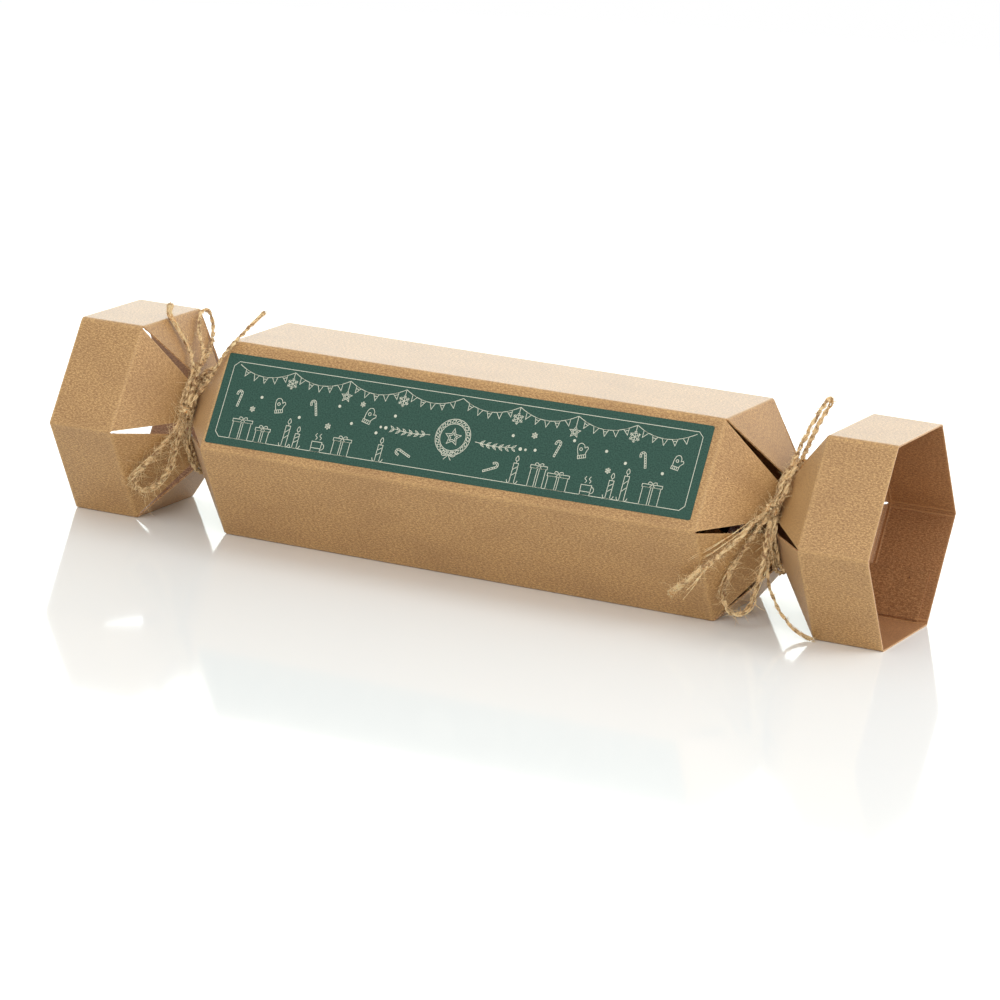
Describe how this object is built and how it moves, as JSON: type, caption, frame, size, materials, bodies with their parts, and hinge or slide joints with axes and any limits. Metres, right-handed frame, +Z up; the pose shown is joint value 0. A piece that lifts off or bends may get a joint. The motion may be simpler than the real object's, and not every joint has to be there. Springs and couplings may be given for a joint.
{
  "type": "christmas cracker",
  "caption": "Six-sided kraft board gift cracker, its ends pinched to necks by twine bows and flaring to open rings, with a green printed label and wrapped sweets inside.",
  "frame": {"origin": "centre of the box's bottom face, on the surface it lies on", "axes": "+X along the cracker, from the left bow to the right bow as seen from the label side; -Y is the side with the label and the bows' knots; +Z up"},
  "size_m": [0.401, 0.1036, 0.1014],
  "materials": {
    "kraft_board": "matt brown kraft board with fine fibre speckle",
    "label_paper": "matt dark green printed paper with thin cream line print",
    "jute_twine": "hairy three-ply jute twine",
    "gold_wrap": "crinkled gold metallised film",
    "brown_wrap": "crinkled dark brown metallised film"
  },
  "bodies": {
    "root": {"body_sleeve": "kraft_board", "body_flap": "kraft_board", "left_ring": "kraft_board", "left_ring_flap": "kraft_board", "right_ring": "kraft_board", "right_ring_flap": "kraft_board", "left_body_petal_top": "kraft_board", "left_body_petal_front_up": "kraft_board", "left_body_petal_front_low": "kraft_board", "left_body_petal_bottom": "kraft_board", "left_body_petal_rear_low": "kraft_board", "left_body_petal_rear_up": "kraft_board", "left_ring_petal_top": "kraft_board", "left_ring_petal_front_up": "kraft_board", "left_ring_petal_front_low": "kraft_board", "left_ring_petal_bottom": "kraft_board", "left_ring_petal_rear_low": "kraft_board", "left_ring_petal_rear_up": "kraft_board", "right_body_petal_top": "kraft_board", "right_body_petal_front_up": "kraft_board", "right_body_petal_front_low": "kraft_board", "right_body_petal_bottom": "kraft_board", "right_body_petal_rear_low": "kraft_board", "right_body_petal_rear_up": "kraft_board", "right_ring_petal_top": "kraft_board", "right_ring_petal_front_up": "kraft_board", "right_ring_petal_front_low": "kraft_board", "right_ring_petal_bottom": "kraft_board", "right_ring_petal_rear_low": "kraft_board", "right_ring_petal_rear_up": "kraft_board", "label": "label_paper", "left_twine_wrap": "jute_twine", "left_bow_knot": "jute_twine", "right_twine_wrap": "jute_twine", "right_bow_knot": "jute_twine", "left_bow_upper_loop": "jute_twine", "left_bow_lower_loop": "jute_twine", "left_twine_end_a": "jute_twine", "left_twine_end_b": "jute_twine", "right_bow_upper_loop": "jute_twine", "right_bow_lower_loop": "jute_twine", "right_twine_end_a": "jute_twine", "right_twine_end_b": "jute_twine", "sweet_front_1": "gold_wrap", "sweet_front_2": "brown_wrap", "sweet_front_3": "gold_wrap", "sweet_front_4": "brown_wrap", "sweet_rear_1": "brown_wrap", "sweet_rear_2": "gold_wrap", "sweet_rear_3": "brown_wrap", "sweet_rear_4": "gold_wrap", "sweet_upper_1": "gold_wrap", "sweet_upper_2": "brown_wrap", "sweet_upper_3": "gold_wrap", "sweet_upper_4": "brown_wrap"}
  },
  "joints": []
}
